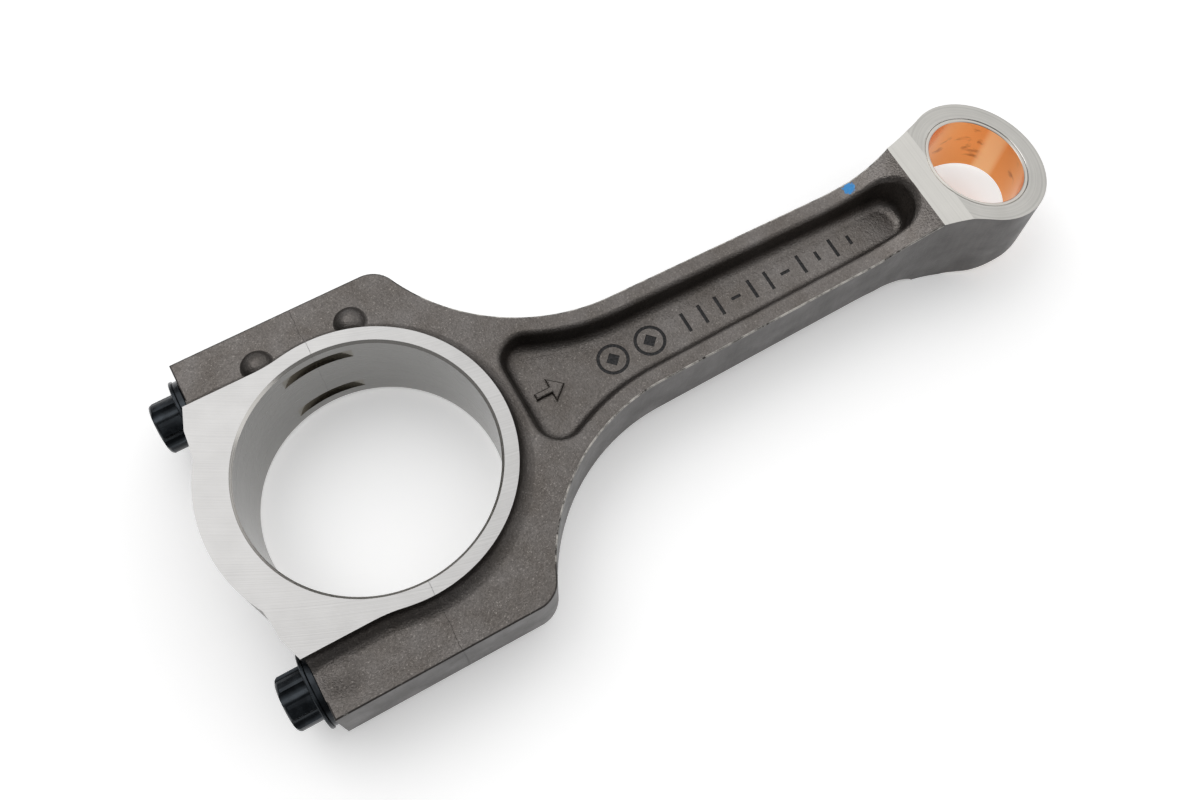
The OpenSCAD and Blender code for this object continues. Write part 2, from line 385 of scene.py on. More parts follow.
def shot_blasted_forging(colours):
    """Hot-forged, shot-blasted steel: dark brown-grey, satin and granular, with painted glints in pale specks.
    """
    m, t = new_material("shot_blasted_forging")
    place = add(t, "TexCoord").outputs["Object"]
    length = add(t, "SeparateXYZ", {"Vector": place}).outputs["X"]
    patches = add(t, "TexNoise", {"Vector": place, "Scale": per_mm(8), "Detail": 5, "Roughness": 0.6})
    # Shot dents are 0.1 to 0.3 mm across; drawn at 0.4 mm so that they show
    dents = add(t, "TexNoise", {"Vector": place, "Scale": per_mm(0.4), "Detail": 3, "Roughness": 0.6})
    painted_glints = add(t, "TexNoise", {"Vector": place, "Scale": per_mm(0.34), "Detail": 2, "Roughness": 0.65})
    tone = add(t, "ValToRGB", {"Fac": patches.outputs["Fac"]})
    dark, pale = tone.color_ramp.elements
    dark.position, dark.color = 0.36, shaded(colours.forging, (0.84, 0.82, 0.8))
    pale.position, pale.color = 0.68, shaded(colours.forging, (1.12, 1.13, 1.15))
    grain = add(t, "MapRange", {"Value": dents.outputs["Fac"], **span(0.32, 0.7, 0.84, 1.2)})
    # The skin is made paler toward the small end
    small_end_paling = add(t, "MapRange", {"Value": length, **span(0.04, 0.115, 0.9, 1.28)})
    evened = add(t, "Math", {0: grain.outputs["Result"], 1: small_end_paling.outputs["Result"]}, operation="MULTIPLY")
    grained = add(t, "Mix", {0: 1.0, 6: tone.outputs["Color"], 7: evened.outputs["Value"]}, **MULTIPLY)
    # Painted glints: pale specks mixed into the colour stand in for highlights on the skin
    spot = add(t, "MapRange", {"Value": painted_glints.outputs["Fac"], **span(0.6, 0.8, 0.0, 0.5)})
    with_painted_glints = add(t, "Mix", {0: spot.outputs["Result"], 6: grained.outputs[2], 7: linear("#b4aea7")}, **MIX)
    # A dab of blue inspection paint on the rim, just before the rise to the small end
    away = add(t, "VectorMath", {0: place, 1: (0.1165, 0.0083, 0.0082)}, operation="DISTANCE")
    ragged = add(t, "TexNoise", {"Vector": place, "Scale": per_mm(0.7), "Detail": 3})
    edge = add(t, "Math", {0: ragged.outputs["Fac"], 1: 1.6 * MM, 2: away.outputs["Value"]},
               operation="MULTIPLY_ADD")
    dab = add(t, "MapRange", {"Value": edge.outputs["Value"], **span(2.2 * MM, 1.9 * MM, 0.0, 0.95)})
    painted = add(t, "Mix", {0: dab.outputs["Result"], 6: with_painted_glints.outputs[2], 7: linear(colours.paint)}, **MIX)
    metal = add(t, "MapRange", {"Value": dab.outputs["Result"], **span(0.0, 1.0, 0.95, 0.0)})
    rough = add(t, "MapRange", {"Value": dents.outputs["Fac"], **span(0.3, 0.7, 0.37, 0.27)})
    bump = add(t, "Bump", {"Height": dents.outputs["Fac"], "Distance": 0.14 * MM, "Strength": 0.9})
    swell = add(t, "Bump", {
        "Height": patches.outputs["Fac"], "Distance": 0.4 * MM, "Strength": 0.45,
        "Normal": bump.outputs["Normal"],
    })
    surface(t, {
        "Base Color": painted.outputs[2], "Metallic": metal.outputs["Result"],
        "Roughness": rough.outputs["Result"], "Normal": swell.outputs["Normal"],
    })
    return m


def trimmed_flank(colours):
    """Side walls wiped by the trimming die: the same dark steel, smoother, with faint drag lines along Z."""
    m, t = new_material("trimmed_flank")
    place = add(t, "TexCoord").outputs["Object"]
    drawn = add(t, "Mapping", {"Vector": place, "Scale": (1, 1, 0.08)})
    lines = add(t, "TexNoise", {"Vector": drawn.outputs["Vector"], "Scale": per_mm(0.6), "Detail": 3})
    patches = add(t, "TexNoise", {"Vector": place, "Scale": per_mm(7), "Detail": 5, "Roughness": 0.6})
    tone = add(t, "ValToRGB", {"Fac": patches.outputs["Fac"]})
    dark, pale = tone.color_ramp.elements
    dark.position, dark.color = 0.36, shaded(colours.trimmed, (0.93, 0.93, 0.93))
    pale.position, pale.color = 0.7, shaded(colours.trimmed, (1.1, 1.1, 1.1))
    drag = add(t, "MapRange", {"Value": lines.outputs["Fac"], **span(0.3, 0.7, 0.93, 1.07)})
    worn = add(t, "Mix", {0: 1.0, 6: tone.outputs["Color"], 7: drag.outputs["Result"]}, **MULTIPLY)
    rough = add(t, "MapRange", {"Value": patches.outputs["Fac"], **span(0.35, 0.7, 0.5, 0.38)})
    fine = add(t, "TexNoise", {"Vector": place, "Scale": per_mm(0.5), "Detail": 2})
    bump = add(t, "Bump", {"Height": fine.outputs["Fac"], "Distance": 0.05 * MM, "Strength": 0.6})
    surface(t, {
        "Base Color": worn.outputs[2], "Metallic": 0.9,
        "Roughness": rough.outputs["Result"], "Normal": bump.outputs["Normal"],
    })
    return m


def trimmed_edge():
    """The edge that the trimming die left: a thin broken burr, pale in patches along the shank."""
    m, t = new_material("trimmed_edge")
    place = add(t, "TexCoord").outputs["Object"]
    breaks = add(t, "TexNoise", {"Vector": place, "Scale": per_mm(2.2), "Detail": 5, "Roughness": 0.75})
    # Towards the big end the edge is made darker, down to an unbroken dark line
    length = add(t, "SeparateXYZ", {"Vector": place}).outputs["X"]
    big_end_darkening = add(t, "MapRange", {"Value": length, **span(0.014, 0.03, -0.16, 0.09)})
    left = add(t, "Math", {0: breaks.outputs["Fac"], 1: big_end_darkening.outputs["Result"]}, operation="ADD")
    tone = add(t, "ValToRGB", {"Fac": left.outputs["Value"]})
    dark, pale = tone.color_ramp.elements
    dark.position, dark.color = 0.45, linear("#3b3836")
    pale.position, pale.color = 0.7, linear("#bdb9b3")
    bump = add(t, "Bump", {"Height": breaks.outputs["Fac"], "Distance": 0.12 * MM, "Strength": 0.8})
    surface(t, {
        "Base Color": tone.outputs["Color"], "Metallic": 0.85,
        "Roughness": 0.36, "Normal": bump.outputs["Normal"],
    })
    return m


def cut_steel(name, hex_colour, centre, marks_mm, low, high, roughness, along=(1, 1, 0)):
    """Bright steel with fine tool marks at equal distances from a centre in metres, light and dark by turns.

    Low and high are the shades of the marks. A zero in along leaves that axis out of the distance.
    """
    m, t = new_material(name)
    place = add(t, "TexCoord").outputs["Object"]
    local = add(t, "VectorMath", {0: place, 1: centre}, operation="SUBTRACT")
    flat = add(t, "VectorMath", {0: local.outputs["Vector"], 1: along}, operation="MULTIPLY")
    away = add(t, "VectorMath", {0: flat.outputs["Vector"]}, operation="LENGTH")
    marks = add(t, "TexNoise", {
        "W": away.outputs["Value"], "Scale": per_mm(marks_mm), "Detail": 3, "Roughness": 0.7,
    }, noise_dimensions="1D")
    wander = add(t, "TexNoise", {"Vector": place, "Scale": per_mm(6), "Detail": 3})
    both = add(t, "Math", {0: wander.outputs["Fac"], 1: 0.35, 2: marks.outputs["Fac"]},
               operation="MULTIPLY_ADD")
    shade = add(t, "MapRange", {"Value": both.outputs["Value"], **span(0.4, 0.95, low, high)})
    tone = add(t, "Mix", {0: 1.0, 6: linear(hex_colour), 7: shade.outputs["Result"]}, **MULTIPLY)
    rough = add(t, "MapRange", {
        "Value": marks.outputs["Fac"], **span(0.3, 0.7, roughness * 0.85, roughness * 1.2),
    })
    bump = add(t, "Bump", {"Height": marks.outputs["Fac"], "Distance": 0.03 * MM, "Strength": 0.7})
    surface(t, {
        "Base Color": tone.outputs[2], "Metallic": 1.0,
        "Roughness": rough.outputs["Result"], "Normal": bump.outputs["Normal"],
    })
    return m


def etched_mark():
    """Laser-darkened marking: matt, near black, with the forging's grain still showing through."""
    m, t = new_material("etched_mark")
    place = add(t, "TexCoord").outputs["Object"]
    grain = add(t, "TexNoise", {"Vector": place, "Scale": per_mm(0.4), "Detail": 3})
    tone = add(t, "ValToRGB", {"Fac": grain.outputs["Fac"]})
    dark, pale = tone.color_ramp.elements
    dark.position, dark.color = 0.35, linear("#141415")
    pale.position, pale.color = 0.7, linear("#343334")
    surface(t, {"Base Color": tone.outputs["Color"], "Metallic": 0.0, "Roughness": 0.8})
    return m


def fracture_face():
    """Steel cracked in two: coarse bright crystal facets, with no tool marks."""
    m, t = new_material("fracture_face")
    place = add(t, "TexCoord").outputs["Object"]
    crystals = add(t, "TexVoronoi", {"Vector": place, "Scale": per_mm(0.35)})
    shine = add(t, "MapRange", {"Value": crystals.outputs["Distance"], **span(0.0, 1.0, 0.3, 0.62)})
    tone = add(t, "Mix", {0: 0.35, 6: linear("#8e8c89"), 7: crystals.outputs["Color"]},
               data_type="RGBA", blend_type="SOFT_LIGHT")
    bump = add(t, "Bump", {"Height": crystals.outputs["Distance"], "Distance": 0.12 * MM, "Strength": 1.0})
    surface(t, {
        "Base Color": tone.outputs[2], "Metallic": 0.9,
        "Roughness": shine.outputs["Result"], "Normal": bump.outputs["Normal"],
    })
    return m


def bearing_bronze(colours):
    """Bored tin bronze: warm orange, satin, with fine rings, a painted highlight band and darker smears of
    oil.
    """
    m, t = new_material("bearing_bronze")
    place = add(t, "TexCoord").outputs["Object"]
    height = add(t, "SeparateXYZ", {"Vector": place})
    rings = add(t, "TexNoise", {"W": height.outputs["Z"], "Scale": per_mm(0.5), "Detail": 2},
                noise_dimensions="1D")
    smeared = add(t, "Mapping", {"Vector": place, "Scale": (1, 1, 1.6)})
    oil = add(t, "TexNoise", {
        "Vector": smeared.outputs["Vector"], "Scale": per_mm(5), "Detail": 4,
        "Roughness": 0.55, "Distortion": 0.6,
    })
    film = add(t, "MapRange", {"Value": oil.outputs["Fac"], **span(0.6, 0.7, 0.0, 0.8)})
    tone = add(t, "Mix", {0: film.outputs["Result"], 6: linear(colours.bronze), 7: linear("#a8683c")}, **MIX)
    # Painted highlight: one band of the bore, turned 22 degrees from +X, is painted paler where the light
    # falls
    highlight_bearing, bore_r = radians(22), PIN_R * MM
    local = add(t, "VectorMath", {0: place, 1: (PIN_X * MM, 0, 0)}, operation="SUBTRACT")
    toward = add(t, "VectorMath", {0: local.outputs["Vector"], 1: (cos(highlight_bearing), sin(highlight_bearing), 0)},
                 operation="DOT_PRODUCT")
    painted_highlight_band = add(t, "MapRange", {
        "Value": toward.outputs["Value"], **span(0.962 * bore_r, 0.996 * bore_r, 0.0, 0.8),
    }, interpolation_type="SMOOTHSTEP")
    with_painted_highlight = add(t, "Mix", {0: painted_highlight_band.outputs["Result"], 6: tone.outputs[2], 7: linear("#ffd09a")}, **MIX)
    rough = add(t, "MapRange", {"Value": film.outputs["Result"], **span(0.0, 1.0, 0.25, 0.16)})
    bump = add(t, "Bump", {"Height": rings.outputs["Fac"], "Distance": 0.02 * MM, "Strength": 0.6})
    surface(t, {
        "Base Color": with_painted_highlight.outputs[2], "Metallic": 1.0,
        "Roughness": rough.outputs["Result"], "Normal": bump.outputs["Normal"],
    })
    return m


def black_oxide(colours):
    """Oiled black oxide on steel: blue-black and glossy, duller where the oil has dried."""
    m, t = new_material("black_oxide")
    place = add(t, "TexCoord").outputs["Object"]
    patches = add(t, "TexNoise", {"Vector": place, "Scale": per_mm(2.5), "Detail": 4, "Roughness": 0.6})
    tone = add(t, "ValToRGB", {"Fac": patches.outputs["Fac"]})
    dark, pale = tone.color_ramp.elements
    dark.position, dark.color = 0.4, linear(colours.oxide)
    pale.position, pale.color = 0.72, linear("#33383d")
    rough = add(t, "MapRange", {"Value": patches.outputs["Fac"], **span(0.35, 0.7, 0.2, 0.36)})
    fine = add(t, "TexNoise", {"Vector": place, "Scale": per_mm(0.5), "Detail": 2})
    bump = add(t, "Bump", {"Height": fine.outputs["Fac"], "Distance": 0.03 * MM, "Strength": 0.5})
    surface(t, {
        "Base Color": tone.outputs["Color"], "Metallic": 0.75,
        "Roughness": rough.outputs["Result"], "Normal": bump.outputs["Normal"],
    })
    return m


def steel_finishes(colours):
    """Every finish of the rod and its cap, by the name of the work that makes it."""
    lay = (0.053, 0.149, 0)
    pin = (PIN_X * MM, 0, 0)
    far_x, far_z = (-0.1, 0, 0), (0, 0, -0.1)
    only_x, only_z = (1, 0, 0), (0, 0, 1)
    return {
        "forged": shot_blasted_forging(colours),
        "flank": trimmed_flank(colours),
        "edge": trimmed_edge(),
        # A disc grinder sweeps wide arcs across the face, drawn 0.4 mm apart so that they show
        "ground": cut_steel("ground_face", "#acabaa", lay, 0.4, 0.8, 1.08, 0.34),
        # Fine boring leaves rings along the bore, too fine to see singly; drawn at 0.4 mm
        "bored": cut_steel("bored_wall", "#8f8e8c", far_z, 0.4, 0.9, 1.05, 0.24, along=only_z),
        "chamfer": cut_steel("turned_chamfer", "#e2dfda", (0, 0, 0), 0.3, 0.95, 1.05, 0.22),
        # The notch cutter leaves bright smooth scoops
        "notch": cut_steel("milled_notch", "#86827a", far_z, 0.6, 0.85, 1.05, 0.2, along=only_x),
        # The eye's faces are turned about the pin, one groove each 0.3 mm; drawn at 0.45 mm
        "turned": cut_steel("turned_face", colours.ground, pin, 0.45, 0.78, 1.06, 0.33),
        "facet": cut_steel("milled_facet", colours.ground, (0.1, 0, 0), 0.5, 0.88, 1.04, 0.36, along=only_x),
        "seat": cut_steel("spot_faced_seat", "#b5b3af", (0, BOLT_Y * MM, 0), 0.5, 0.85, 1.05, 0.3,
                          along=(0, 1, 1)),
        "thread": cut_steel("cut_thread", "#a5a39f", far_x, 0.6, 0.9, 1.05, 0.26, along=only_x),
        "fracture": fracture_face(),
        "etched": etched_mark(),
    }


# ---------------------------------------------------------------- rod and cap

def forged_blank(looks, finish):
    """The forging before machining: its outline drawn out to the side view, trimmed edges rounded."""
    flank_x, flank_r, root_half = 60.0, 42.0, 10.8
    corner_r = 6.0
    flank_y = root_half + flank_r
    corner_y = BOSS_HALF_W - corner_r
    corner_x = flank_x - sqrt((flank_r + corner_r) ** 2 - (flank_y - corner_y) ** 2)
    lean = degrees(atan2(flank_y - corner_y, flank_x - corner_x))
    neck_x, neck_half = PIN_X - 26.75, 9.7
    neck_dx = EYE_X - neck_x
    neck_r = (neck_dx ** 2 + neck_half ** 2 - EYE_R ** 2) / (2 * (EYE_R - neck_half))
    neck_y = neck_half + neck_r
    bm = plan(
        (SEAT_X, 0), (SEAT_X, BOSS_HALF_W), (corner_x, BOSS_HALF_W),
        (corner_x, corner_y, lean), (flank_x, flank_y, 270),
        (neck_x, neck_half), (neck_x, neck_y, degrees(atan2(-neck_y, neck_dx))),
        (EYE_X, 0, 0),
    )
    cut_at(bm, STATIONS)
    bmesh.ops.translate(bm, verts=bm.verts, vec=(0, 0, -1))
    middle = rise(bm, 1)
    rise(bm, 1, faces=middle)
    for vert in bm.verts:
        x, side = vert.co.x, round(vert.co.z)
        vert.co.z = side * half_thickness(x)
        if side < 0:
            vert.co.y *= 1 - lower_draft(x) / max(abs(vert.co.y), 5)
    bmesh.ops.recalc_face_normals(bm, faces=bm.faces)
    trimmed = [
        edge for edge in bm.edges
        if edge.calc_face_angle(0) > radians(50) and all(abs(vert.co.z) > 1 for vert in edge.verts)
        and (edge.verts[0].co.x + edge.verts[1].co.x) / 2 < FACET_X - 0.2
    ]
    forged, flank, edge, facet, turned = range(5)
    for face in bm.faces:
        x = face.calc_center_median().x
        level = abs(face.normal.z) > 0.6
        face.material_index = (turned if x > TAPER_X else facet if x > FACET_X else forged) if level else flank
    rounded = bmesh.ops.bevel(bm, geom=trimmed, offset=looks.edge, segments=3, profile=0.5, affect="EDGES",
                              material=-1)
    for face in rounded["faces"]:
        face.material_index = edge
    return solid("blank", bm, *(finish[name] for name in ("forged", "flank", "edge", "facet", "turned")))


def lower_draft(x):
    """How far the lower die's draft brings the small end's side walls in at their bottom edge."""
    table = (
        (115, 0), (118, 0.24), (121.5, 0.54), (123, 0.73), (126, 0.9), (129, 0.9),
        (134, 0.8), (136, 0.5), (138, 0.26), (143.7, 0.24), (147, 0),
    )
    for (x0, d0), (x1, d1) in zip(table, table[1:]):
        if x0 <= x <= x1:
            return d0 + (d1 - d0) * (x - x0) / (x1 - x0)
    return 0.0


def fillet_steps(radius, count):
    """Steps in and up along a hollow quarter circle that starts level: pairs of shrink and lift."""
    angles = [pi / 2 * step / count for step in range(count + 1)]
    return [
        (radius * (sin(b) - sin(a)), radius * (cos(a) - cos(b)))
        for a, b in zip(angles, angles[1:])
    ]


def rounding_steps(radius, count):
    """The same in the other order, so that it starts upright and ends level."""
    return list(reversed(fillet_steps(radius, count)))


def pad_block(looks, finish, side):
    """One raised pad round the big end, with its fillet skirt, still proud of its ground height."""
    half_w, blend_x, blend_r, skirt = 27.7, -11.83, 30.0, looks.skirt
    blend_y = half_w + blend_r
    meet = degrees(atan2(-blend_y, -blend_x))
    bm = plan(
        (-30, 0), (-30, half_w + skirt), (blend_x, half_w + skirt),
        (blend_x, blend_y, meet), (0, 0, 0),
    )
    bmesh.ops.translate(bm, verts=bm.verts, vec=(0, 0, 4))
    top = rise(bm, SLAB_HALF - 4.08)
    steps = fillet_steps(skirt, 7)
    steps[0] = (steps[0][0], steps[0][1] + 0.08)
    for shrink, lift in steps:
        top = rise(bm, lift, shrink, top)
    level = top[0].verts[0].co.z
    rise(bm, PAD_HALF + 0.4 - level, faces=top)
    end_at_seat(bm)
    bmesh.ops.scale(bm, vec=(1, 1, side), verts=bm.verts)
    return solid("pad", bm, finish["forged"])


def cap_back(finish):
    """The cap's back, behind the bolt seats, as thick as both pads."""
    bm = plan(
        (-CAP_BACK_R, 0), (0, 0, 150), (-28.1, 19.5), (-27.8, 23), (-26.2, 27.7),
        (SEAT_X, 27.7), (-20, 22), (-20, 0),
    )
    bmesh.ops.translate(bm, verts=bm.verts, vec=(0, 0, -PAD_HALF - 0.3))
    rise(bm, 2 * PAD_HALF + 0.6)
    return solid("cap_back", bm, finish["forged"])


def locating_dome(finish, x):
    """A round boss with a soft root."""
    radius, height, root = 3.2, 2.2, 0.5
    ball = (radius ** 2 + height ** 2) / (2 * height)
    reach = asin(radius / ball)
    bearings = [reach * step / 9 for step in range(9)]
    cap = [(ball * sin(turn), SLAB_HALF + height - ball + ball * cos(turn)) for turn in bearings]
    skirt = [(radius - 0.05 + root * b, SLAB_HALF + 0.28 * (1 - b) ** 2) for b in (0, 0.35, 0.7)]
    bm = lathe(cap + skirt + [(radius + root, SLAB_HALF - 0.1), (radius + root, 5), (0, 5)], 40, (x, 30.9, 0))
    return solid("dome", bm, finish["forged"])


def seat_swell(finish):
    """A low swelling of the forging beside the right bolt's seat."""
    radius, height = 5.4, 0.62
    bell = [(radius * step / 14, height * (cos(pi * step / 14) - 1) / 2) for step in range(14)]
    profile = bell + [(radius, -height - 0.02), (radius, -2), (0, -2)]
    bm = lathe(profile, 64, (-21.6, -32.2, SLAB_HALF + height))
    end_at_seat(bm)
    return solid("swell", bm, finish["forged"])


def pocket_tool(looks, finish, side):
    """What a die leaves in the shank: a rounded rim, a slight draft and a hollow fillet round a level web."""
    rim, root, web_half, draft = looks.pocket_rim, looks.pocket_fillet, 2.2, 0.35
    left, corner_r, flank_x, flank_y, flank_r = 32.7, 5.0, 60.0, 52.8, 46.0
    end_x, end_y, end_r = FACET_X - 4.85 - rim, 0.7, 5.0
    corner_y = flank_y - sqrt((flank_r + corner_r) ** 2 - (flank_x - left - corner_r) ** 2)
    lean = degrees(atan2(flank_y - corner_y, flank_x - left - corner_r))
    bm = plan(
        (left - rim, 0), (left - rim, corner_y), (left + corner_r, corner_y, lean), (flank_x, flank_y, 270),
        (end_x, end_y + end_r + rim), (end_x, end_y, 0), (end_x + end_r + rim, 0),
    )
    bmesh.ops.translate(bm, verts=bm.verts, vec=(0, 0, -SLAB_HALF - 4))
    floor = rise(bm, 4 - 0.02)
    steps = fillet_steps(rim, 5)
    steps[0] = (steps[0][0], steps[0][1] + 0.02)
    for shrink, lift in steps:
        floor = rise(bm, lift, shrink, floor)
    floor = rise(bm, SLAB_HALF - rim - web_half - root, draft, floor)
    for shrink, lift in rounding_steps(root, 6):
        floor = rise(bm, lift, shrink, floor)
    cut_at(bm, STATIONS)
    for vert in bm.verts:
        if vert.co.z < -5:
            vert.co.z += SLAB_HALF - half_thickness(vert.co.x)
    bmesh.ops.scale(bm, vec=(1, 1, -side), verts=bm.verts)
    return solid("pocket", bm, finish["forged"])


def arrow_mark(finish):
    """A raised arrow on the web that points to the small end."""
    bm = plan((35.9, 0), (35.9, 0.75), (39.4, 0.75), (39.4, 2.8), (42.6, 0))
    bmesh.ops.translate(bm, verts=bm.verts, vec=(0, 0, 1.8))
    top = rise(bm, 0.8)
    top = rise(bm, 0.3, 0.14, top)
    rise(bm, 0.12, 0.22, top)
    return solid("arrow", bm, finish["forged"])


def etched_tool(finish):
    """Shallow marks along the web: two ringed diamonds and a row of tally bars, none of them letters."""
    bm = bmesh.new()
    depth, floor = 0.12, 2.2

    def stroke(x, length, width):
        box = bmesh.ops.create_cube(bm, size=1)["verts"]
        bmesh.ops.scale(bm, vec=(length, width, 2 * depth), verts=box)
        bmesh.ops.translate(bm, verts=box, vec=(x, 0, floor))

    inner, outer, low, high = 2.75, 3.45, floor - depth, floor + depth
    for x in (54.0, 62.8):
        join(bm, clean(lathe([(inner, low), (outer, low), (outer, high), (inner, high)], 48, (x, 0, 0))))
        diamond = bmesh.ops.create_cone(bm, segments=4, radius1=1.6, radius2=1.6, depth=2 * depth,
                                        cap_ends=True)
        bmesh.ops.translate(bm, verts=diamond["verts"], vec=(x, 0, floor))
    long, short, dash = 4.6, 2.3, 0.7
    row = (long, long, long, dash, long, long, dash, long, short, long, short)
    for number, height in enumerate(row):
        stroke(71.5 + 4.1 * number, 2.2 if height == dash else 0.75, height)
    return solid("etched", bm, finish["etched"])


def rotated_tool(name, material, profile, steps, centre):
    """A round cutter whose axis runs along X: its profile gives radius and x."""
    bm = lathe(profile, steps)
    bmesh.ops.rotate(bm, verts=bm.verts, cent=(0, 0, 0), matrix=Matrix.Rotation(pi / 2, 3, "Y"))
    bmesh.ops.translate(bm, verts=bm.verts, vec=centre)
    return solid(name, bm, material)


def crack_tool(looks, finish, side):
    """All the space on one side of the rough crack that parts the cap from the rod."""
    bm = bmesh.new()
    bmesh.ops.create_grid(bm, x_segments=34, y_segments=120, size=1)
    bmesh.ops.rotate(bm, verts=bm.verts, cent=(0, 0, 0), matrix=Matrix.Rotation(pi / 2, 3, "Y"))
    for vert in bm.verts:
        y, z = vert.co.y * 44, vert.co.z * 14
        coarse = noise.noise(Vector((3.7, y * 0.28, z * 0.28)))
        fine = noise.fractal(Vector((9.1, y * 1.3, z * 1.3)), 0.9, 2.0, 3)
        vert.co = (looks.crack * (coarse + 0.45 * fine) - side * looks.crack_gap / 2, y, z)
    far = rise(bm, 0)
    for vert in {vert for face in far for vert in face.verts}:
        vert.co.x = -side * 200
    return solid("crack", bm, finish["fracture"])


def bolt_tools(finish, inner_r, reach, name):
    """Cutters for the two bolt holes, from behind the seats to reach."""
    start_x, drill_point = -40, 2.4
    profile = [(0, start_x), (inner_r, start_x), (inner_r, reach), (0, reach + drill_point)]
    return [rotated_tool(name, finish["thread"], profile, 48, (0, y, 0)) for y in (BOLT_Y, -BOLT_Y)]


def machined_rod(looks, finish):
    """The rod before it is cracked: blank, pads, domes and pockets, then the cuts for bolts and bearing."""
    rod = forged_blank(looks, finish)
    machined(rod, "UNION", pad_block(looks, finish, 1), pad_block(looks, finish, -1), cap_back(finish),
             locating_dome(finish, -10.3), locating_dome(finish, 10.0), seat_swell(finish))
    machined(rod, "DIFFERENCE", pocket_tool(looks, finish, 1), pocket_tool(looks, finish, -1))
    grinding = []
    for side in (1, -1):
        bm = bmesh.new()
        bmesh.ops.create_cube(bm, size=2)
        bmesh.ops.scale(bm, vec=(40, 60, 1), verts=bm.verts)
        bmesh.ops.translate(bm, verts=bm.verts, vec=(0, 0, side * (PAD_HALF + 1)))
        grinding.append(solid("grinding", bm, finish["ground"]))
    chamfer, over = 0.55, 0.7
    end_r, end_z = BIG_BORE_R + chamfer + over, PAD_HALF + over
    bore = lathe([
        (0, -end_z), (end_r, -end_z), (BIG_BORE_R, chamfer - PAD_HALF),
        (BIG_BORE_R, PAD_HALF - chamfer), (end_r, end_z), (0, end_z),
    ], 180)
    for face in bore.faces:
        face.material_index = 0 if abs(face.calc_center_median().z) < PAD_HALF - chamfer else 1
    cuts = grinding + [solid("bore", bore, finish["bored"], finish["chamfer"])]
    notch_r, notch_half = 12.8, 1.5
    for z in (7.6, -7.3):
        low, high = z - notch_half, z + notch_half
        notch = lathe([(0, low), (notch_r, low), (notch_r, high), (0, high)], 96, (0, 14.0, 0))
        cuts.append(solid("notch", notch, finish["notch"]))
    spot_r, spot_x = 8.3, SEAT_X - 0.01
    for y in (BOLT_Y, -BOLT_Y):
        profile = [(0, -36), (spot_r, -36), (spot_r, spot_x), (0, spot_x)]
        cuts.append(rotated_tool("spot_face", finish["seat"], profile, 64, (0, y, 0)))
    return machined(rod, "DIFFERENCE", *cuts)


def pin_eye_tool(finish):
    """The pin bore's cutter, its chamfers following the tapered faces."""
    over, chamfer = 0.6, 0.12
    end_r, end_z = PIN_HOLE_R + chamfer + over, EYE_HALF + over
    profile = [(0, -end_z), (end_r, -end_z), (PIN_HOLE_R, chamfer - EYE_HALF),
               (PIN_HOLE_R, EYE_HALF - chamfer), (end_r, end_z), (0, end_z)]
    bm = lathe(profile, 120, (PIN_X, 0, 0))
    follow_faces(bm)
    for face in bm.faces:
        face.material_index = 0 if abs(face.calc_center_median().z) < 4 else 1
    return solid("pin_eye", bm, finish["bored"], finish["chamfer"])


def follow_faces(bm):
    """Leans both ends of an upright round shape to the tapered faces of the small end."""
    cut_at(bm, [TAPER_X])
    for vert in bm.verts:
        if abs(vert.co.z) > 5:
            shift = half_thickness(vert.co.x) - EYE_HALF
            vert.co.z += shift if vert.co.z > 0 else -shift


def settings():
    """The sizes and the colours set in the panel."""
    return bpy.context.scene.rod_looks, bpy.context.scene.rod_colours


class MakeRod(bpy.types.Operator):
    """Makes the forged rod and its cap as one, cracks them apart, and finishes both"""
    bl_idname = "conrod.rod_and_cap"
    bl_label = "Rod and cap"

    def execute(self, context):
        looks, colours = settings()
        finish = steel_finishes(colours)
        rod = machined_rod(looks, finish)
        cap = solid("cap", bmesh_copy(rod), *rod.data.materials)
        machined(rod, "UNION", arrow_mark(finish))
        tapped_r, tapped_end, clear_r, clear_end = 4.55, 18.6, 4.8, 10.0
        machined(rod, "DIFFERENCE", crack_tool(looks, finish, 1), pin_eye_tool(finish), etched_tool(finish),
                 *bolt_tools(finish, tapped_r, tapped_end, "tapped_hole"))
        machined(cap, "DIFFERENCE", crack_tool(looks, finish, -1),
                 *bolt_tools(finish, clear_r, clear_end, "clearance_hole"))
        finished(rod, "rod_forging", "rod", "forged_steel", "rod_body")
        finished(cap, "cap_forging", "cap", "forged_steel", "bearing_cap")
        return {"FINISHED"}


def bmesh_copy(obj):
    bm = bmesh.new()
    bm.from_mesh(obj.data)
    return bm


class MakeBush(bpy.types.Operator):
    """Makes the bronze pin bush, its ends leaned to the small end's faces and its edges chamfered"""
    bl_idname = "conrod.pin_bush"
    bl_label = "Pin bush"

    def execute(self, context):
        colours = context.scene.rod_colours
        half, chamfer, lead, outer = EYE_HALF - 0.1, 0.16, 0.15, PIN_HOLE_R - 0.01
        profile = [
            (PIN_R, chamfer - half), (PIN_R + chamfer, -half), (outer - lead, -half), (outer, lead - half),
            (outer, half - lead), (outer - lead, half), (PIN_R + chamfer, half), (PIN_R, half - chamfer),
        ]
        bm = lathe(profile, 120, (PIN_X, 0, 0))
        follow_faces(bm)
        bmesh.ops.recalc_face_normals(bm, faces=bm.faces)
        for face in bm.faces:
            face.material_index = 1 if abs(face.normal.z) > 0.3 else 0
        edge = cut_steel("steel_bush_edge", "#d6d2cb", (PIN_X * MM, 0, 0), 0.3, 0.9, 1.05, 0.3)
        bush = solid("bush", bm, bearing_bronze(colours), edge)
        finished(bush, "pin_bush", "rod", "bush_bronze", "small_end_bush")
        return {"FINISHED"}


